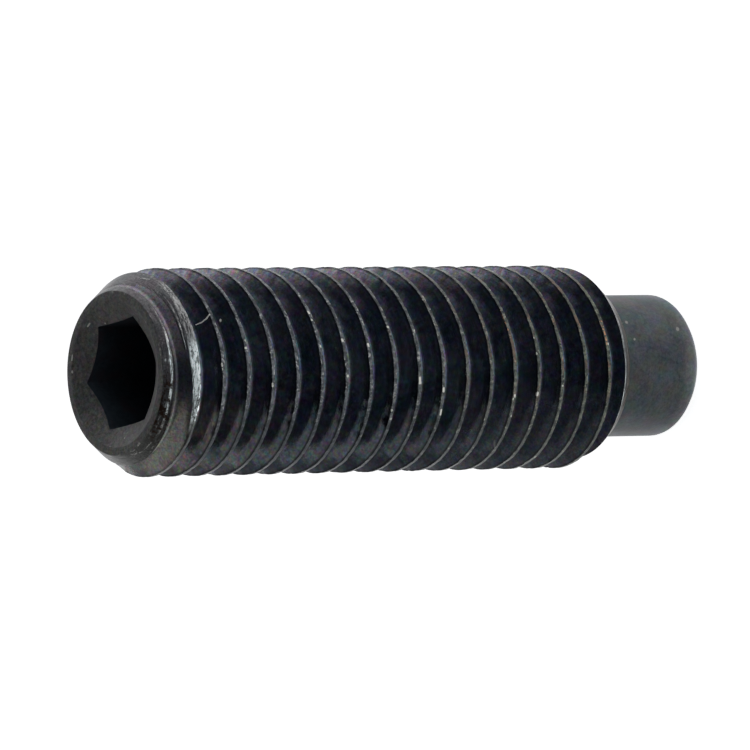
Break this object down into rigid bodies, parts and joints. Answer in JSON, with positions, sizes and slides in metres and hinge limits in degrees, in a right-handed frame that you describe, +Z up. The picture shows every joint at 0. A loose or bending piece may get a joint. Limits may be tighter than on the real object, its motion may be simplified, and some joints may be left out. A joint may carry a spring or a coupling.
{
  "type": "grub set screw",
  "caption": "Headless metric set screw: a hexagon socket in one end, a right-hand thread along the body and a plain cylindrical dog point at the other end, in worn black-oxide steel.",
  "frame": {"origin": "middle of the flat tip face of the dog point, which is the bottom centre of the part", "axes": "+Z up the screw's axis from the tip to the socket face; +X towards one corner of the hexagon"},
  "size_m": [0.012, 0.012, 0.04],
  "materials": {
    "black_steel": "satin black oxide, worn to bare steel along the thread crests and edges"
  },
  "bodies": {
    "root": {"set_screw": "black_steel"}
  },
  "joints": []
}
